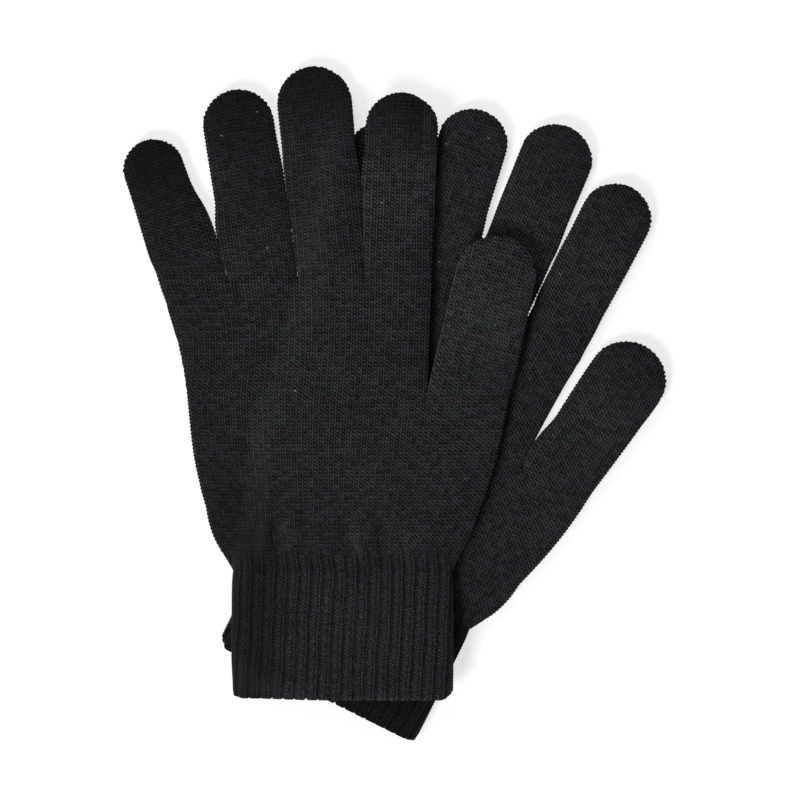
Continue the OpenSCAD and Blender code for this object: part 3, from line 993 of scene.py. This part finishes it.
def hand_height(g, x, y):
    """Height of the hand's top near a crotch, in its own frame."""
    if y.mean() > THUMB_Y + 10:
        lobe = np.zeros_like(x)
        for k in range(4):
            u = (x - base_x(g, k)) / base_half(g, k)
            lobe = np.maximum(lobe, np.where(np.abs(u) <= 1, dome(u, FINGER_FLAT), 0))
        h = mix(1.0, lobe, nearing(y, KNUCKLE_Y) ** 2)
    else:
        u_h = 2 * (x - left_x(y)) / (CROTCH_SIDE - left_x(y)) - 1
        u_t = (x - base_x(g, THUMB)) / base_half(g, THUMB)
        lobe = np.where(x < CROTCH_SIDE, dome(np.clip(u_h, -1, 1), PALM_FLAT),
                        dome(np.clip(u_t, -1, 1), FINGER_FLAT))
        h = mix(1.0, lobe, nearing(y, THUMB_Y) ** 2)
    return hand_t(y) / 2 + np.maximum(hand_t(y) / 2 * h, PINCH)


def add_yarn(shell, path):
    """A closed length of yarn along a line of points, thinner at its ends."""
    tangent = unit(np.gradient(path, axis=0))
    across = unit(np.cross(tangent, np.array([0, 0, 1.0])))
    up = np.cross(across, tangent)
    t = np.linspace(-1, 1, len(path))
    r = YARN_R * (1 - 0.5 * t ** 4)
    a = np.linspace(0, 2 * np.pi, YARN_SIDES, endpoint=False)
    ring = (path[:, None] + r[:, None, None] * (np.cos(a)[None, :, None] * across[:, None]
                                                + np.sin(a)[None, :, None] * up[:, None]))
    ids = shell.add(ring, a[None, :] / 2, np.arange(len(path))[:, None] * 0.5)
    wrap = closed(ids)
    shell.sheet(wrap, out=False)
    shell.put([list(ids[0][::-1])])
    shell.put([list(ids[-1])])


# ---- materials ----

def new_material(name):
    """A material with nothing but a shader, its tree, and that shader."""
    m = bpy.data.materials.new(name)
    m.use_nodes = True
    tree = m.node_tree
    tree.nodes.clear()
    out = tree.nodes.new("ShaderNodeOutputMaterial")
    shader = tree.nodes.new("ShaderNodeBsdfPrincipled")
    tree.links.new(shader.outputs[0], out.inputs[0])
    return m, tree, shader


def attribute(tree, title):
    """The output of a mesh attribute, and its three numbers."""
    source = tree.nodes.new("ShaderNodeAttribute")
    source.attribute_name = title
    vector = source.outputs["Vector"]
    parts = tree.nodes.new("ShaderNodeSeparateXYZ")
    tree.links.new(vector, parts.inputs[0])
    return vector, [Wire(tree, parts.outputs[i]) for i in range(3)]


def colour_mix(tree, factor, a, b):
    """From a to b, each a colour or the output of a node."""
    n = tree.nodes.new("ShaderNodeMix")
    n.data_type = "RGBA"
    tree.links.new(factor.socket, n.inputs["Factor"])
    for end, slot in ((a, "A"), (b, "B")):
        if isinstance(end, tuple):
            n.inputs[slot].default_value = (*end, 1)
        else:
            tree.links.new(end, n.inputs[slot])
    return n.outputs["Result"]


def add_bump(tree, shader, height, bumpy):
    bump = tree.nodes.new("ShaderNodeBump")
    bump.inputs["Strength"].default_value = bumpy[0]
    bump.inputs["Distance"].default_value = bumpy[1]
    tree.links.new(height.socket, bump.inputs["Height"])
    tree.links.new(bump.outputs[0], shader.inputs["Normal"])


NEAR_BLACK = (0.0007, 0.0008, 0.0010)
FIBRE_BUMP = 0.8  # how high fibres stand beside the height of a stitch
DEPTH_OF_BLACK = 0.62  # share of the light colour that an ordinary raised stitch reaches
SHIFT_ASIDE, SHIFT_ALONG = 0.25, 0.45  # how far stitches stray from their wale and course
# what fibre, grain, lumps and a stitch's own luck add to the shade, and what ribs add to that
FIBRE, GRAIN, LUMPS, LUCK = (2.6, 1.0), (1.8, 0.8), (0.4, 2.8), (0.4, -0.2)
RELIEF_SHADE, BROAD_SHADE = 1.1, 0.25  # what the stitch's height adds as painted shade in its hollows, and what broad patches add
SHADE_DOWN = -0.42  # and what is taken off again
WARM, COLD = (1.12, 1.0, 0.92), (0.86, 1.0, 1.08)  # tints that the yarn wavers between
LINT, LINT_LUCK, LINT_SIZE = (0.2, 0.19, 0.17), 0.9994, 0.94  # the nearer to 1, the rarer
KNIT_BUMP, YARN_BUMP = (0.8, 0.0004), (0.6, 0.0001)  # strength, and distance in metres


def knit_material(name, light, ribbed=False, roughness=0.9):
    m, tree, shader = new_material(name)
    knit, (w, c, painted_shading) = attribute(tree, "knit")

    def noise(scale, detail=2.0, wide=1.0):
        place = tree.nodes.new("ShaderNodeMapping")
        place.inputs["Scale"].default_value = (WALE * wide, COURSE, 0)
        tree.links.new(knit, place.inputs["Vector"])
        n = tree.nodes.new("ShaderNodeTexNoise")
        tree.links.new(place.outputs[0], n.inputs["Vector"])
        n.inputs["Scale"].default_value = scale
        n.inputs["Detail"].default_value = detail
        return Wire(tree, n.outputs["Fac"]) + (-0.5)

    shift = noise(0.9, 1.0)
    height = stitch(fract(w + shift * SHIFT_ASIDE), c + shift * SHIFT_ALONG)
    weights = [base for base, _ in (FIBRE, GRAIN, LUMPS, LUCK)]
    if ribbed:
        phase, share, groove = attribute(tree, "rib")[1]
        # the grooves between ribs darken the height that the colour follows: painted shade in
        # the grooves
        ribs = rib_stitch(fract(phase), c + shift * 0.4) * (groove * -0.95 + 1)
        height = height + (ribs - height) * share
        height = height * (groove * -0.15 + 1) * (share * -0.25 + 1)
        height = height + share * (groove * 0.3 + 0.04)
        weights = [share * more + base for base, more in (FIBRE, GRAIN, LUMPS, LUCK)]
    fibre = noise(2.3, 3.0, 1.5)
    fine = noise(6.0, 1.0, 1.2)
    lumps = noise(1.5, 2.0, 1.2)
    broad = noise(0.05, 3.0)
    cell = tree.nodes.new("ShaderNodeCombineXYZ")
    tree.links.new(w.math("FLOOR").socket, cell.inputs[0])
    tree.links.new(c.math("FLOOR").socket, cell.inputs[1])
    chance = tree.nodes.new("ShaderNodeTexWhiteNoise")
    tree.links.new(cell.outputs[0], chance.inputs["Vector"])
    luck = Wire(tree, chance.outputs["Value"])
    # the stitch's height darkens the colour in its hollows: painted shade between stitches
    shade = height * RELIEF_SHADE
    for part, weight in zip((fibre, fine, lumps, luck), weights):
        shade = shade + part * weight
    shade = shade + broad * BROAD_SHADE + SHADE_DOWN
    # scaled by the painted light and shade carried on the mesh
    factor = shade.math("MULTIPLY", DEPTH_OF_BLACK, clamp=True) * painted_shading
    warm, cold = (tuple(v * k for v, k in zip(light, tint)) for tint in (WARM, COLD))
    hue = (noise(1.1, 2.0) * 3.0).math("ADD", 0.5, clamp=True)
    yarn = colour_mix(tree, factor, NEAR_BLACK, colour_mix(tree, hue, cold, warm))
    dot = hump(fract(w)) * hump(fract(c))
    speck = luck.math("GREATER_THAN", LINT_LUCK) * dot.math("GREATER_THAN", LINT_SIZE)
    tree.links.new(colour_mix(tree, speck, yarn, LINT), shader.inputs["Base Color"])
    shader.inputs["Roughness"].default_value = roughness
    add_bump(tree, shader, height + fibre * FIBRE_BUMP, KNIT_BUMP)
    shader.inputs["Sheen Weight"].default_value = 0.04
    shader.inputs["Sheen Roughness"].default_value = 0.5
    shader.inputs["Sheen Tint"].default_value = (0.5, 0.6, 0.62, 1)
    shader.inputs["Specular IOR Level"].default_value = 0.03
    return m


LIGHT = (0.0322, 0.0347, 0.0385)
plain = knit_material("plain knit", LIGHT, ribbed=True)
rib = knit_material("rib knit", LIGHT, ribbed=True)
touch = knit_material("conductive knit", (0.0292, 0.0311, 0.0353), roughness=0.82)
tube_knit = knit_material("finger knit", LIGHT)
inner = knit_material("inside of the knit", (0.028, 0.030, 0.033))


def yarn_material(name, dark, light):
    """Twisted thread: slanting plies with painted shade between them, and a little uneven."""
    m, tree, shader = new_material(name)
    knit, (around, along, _) = attribute(tree, "knit")
    ply = wave(around + along)
    noise = tree.nodes.new("ShaderNodeTexNoise")
    noise.inputs["Scale"].default_value = 5.0
    tree.links.new(knit, noise.inputs["Vector"])
    uneven = Wire(tree, noise.outputs["Fac"])
    shade = (ply * 0.7 + uneven * 0.3).math("MULTIPLY", 1.0, clamp=True)
    tree.links.new(colour_mix(tree, shade, dark, light), shader.inputs["Base Color"])
    add_bump(tree, shader, ply, YARN_BUMP)
    shader.inputs["Roughness"].default_value = 0.85
    shader.inputs["Sheen Weight"].default_value = 0.05
    shader.inputs["Specular IOR Level"].default_value = 0.1
    return m


closing = yarn_material("closing yarn", (0.001, 0.0012, 0.0015), (0.016, 0.0172, 0.0195))
elastic = yarn_material("covered elastic", (0.006, 0.006, 0.006), (0.03, 0.03, 0.031))


# ---- the pieces, some of them on their bodies ----

FOLD_RUN, CUFF_RUN = 15.0, 13.0  # distance along a finger, and back down a cuff, to the second of the two points found for each

for g, side in enumerate(SIDES):
    hand_body = f"{side}_hand"
    hand = build_hand(g, [plain, inner])
    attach(hand, hand_body)
    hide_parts(f"{side}_palm")
    for k, limb in enumerate(LIMBS):
        body = f"{side}_{LIMB_BODY[k]}"
        stop = FINGER_LEN[k] - TOUCH_LEN if k in TIPS else cap_at(k)
        name = f"{side}_{limb}_knit"
        tube = build_limb(g, k, 0.0, stop, k not in TIPS, name, [tube_knit, inner])
        spot(g, base_x(g, k), base_y(k))
        spot(g, base_x(g, k), base_y(k) + FOLD_RUN)
        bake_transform(tube)
        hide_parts(f"{side}_{limb}")
        if k in TIPS:
            name = f"{side}_{TIPS[k]}_knit"
            tip = build_limb(g, k, stop, cap_at(k), True, name, [touch, inner])
            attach(tip, body)
            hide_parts(f"{side}_{TIPS[k]}")
    start, end = spot(g, 0, CUFF_LEN), spot(g, 0, CUFF_LEN - CUFF_RUN)
    cuff = build_cuff(g, [rib, inner])
    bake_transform(cuff)
    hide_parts(f"{side}_cuff")
    welt = build_welt(g, [rib, inner])
    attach(welt, f"{side}_cuff")
    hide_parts(f"{side}_cuff_welt")
    threads = build_elastic(g, [elastic])
    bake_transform(threads)
    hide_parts(f"{side}_cuff_elastic")
    stitches = build_stitches(g, [closing])
    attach(stitches, hand_body)
    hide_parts(f"{side}_crotch_stitches")


# ---- floor, light and camera ----

scene = bpy.context.scene
floor_mesh = bpy.data.meshes.new("floor")
floor_mesh.from_pydata([(-3, -3, 0), (3, -3, 0), (3, 3, 0), (-3, 3, 0)], [], [(0, 1, 2, 3)])
floor = bpy.data.objects.new("floor", floor_mesh)
floor.location.z = -0.0002
scene.collection.objects.link(floor)
paper = bpy.data.materials.new("white paper")
paper.use_nodes = True
paper_shader = paper.node_tree.nodes["Principled BSDF"]
paper_shader.inputs["Base Color"].default_value = (0.2, 0.2, 0.2, 1)
paper_shader.inputs["Emission Color"].default_value = (1.0, 0.992, 0.975, 1)
paper_shader.inputs["Emission Strength"].default_value = 0.66
paper_shader.inputs["Roughness"].default_value = 0.95
paper_shader.inputs["Specular IOR Level"].default_value = 0.1
floor_mesh.materials.append(paper)

world = bpy.data.worlds.new("studio")
scene.world = world
world.use_nodes = True
sky = world.node_tree.nodes["Background"]
sky.inputs["Color"].default_value = (1.0, 0.995, 0.985, 1)
sky.inputs["Strength"].default_value = 0.6


def soft_light(name, place, aim, size, watts):
    data = bpy.data.lights.new(name, "AREA")
    data.shape, data.size, data.energy = "DISK", size, watts
    ob = bpy.data.objects.new(name, data)
    scene.collection.objects.link(ob)
    ob.location = place
    gap = [aim[i] - place[i] for i in range(3)]
    length = math.sqrt(sum(v * v for v in gap))
    turn = math.atan2(gap[1], gap[0]) - math.pi / 2
    ob.rotation_euler = (math.acos(-gap[2] / length), 0, turn)


soft_light("key", (-0.5, -0.65, 0.9), (0, 0, 0), 0.45, 22)
soft_light("fill", (-0.3, 0.85, 0.8), (0, 0, 0), 0.6, 10)

HEIGHT, VIEW_WIDTH, VIEW_Z, SENSOR = 1.5, 0.304, 0.008, 36.0  # as wide at height VIEW_Z
camera_data = bpy.data.cameras.new("camera")
camera = bpy.data.objects.new("camera", camera_data)
scene.collection.objects.link(camera)
camera_data.sensor_width = SENSOR
camera.location = (0.0020, 0.0014, HEIGHT)
camera_data.lens = SENSOR * (HEIGHT - VIEW_Z) / VIEW_WIDTH
camera_data.clip_start, camera_data.clip_end = 0.05, 20
scene.camera = camera
scene.view_settings.view_transform = "Standard"
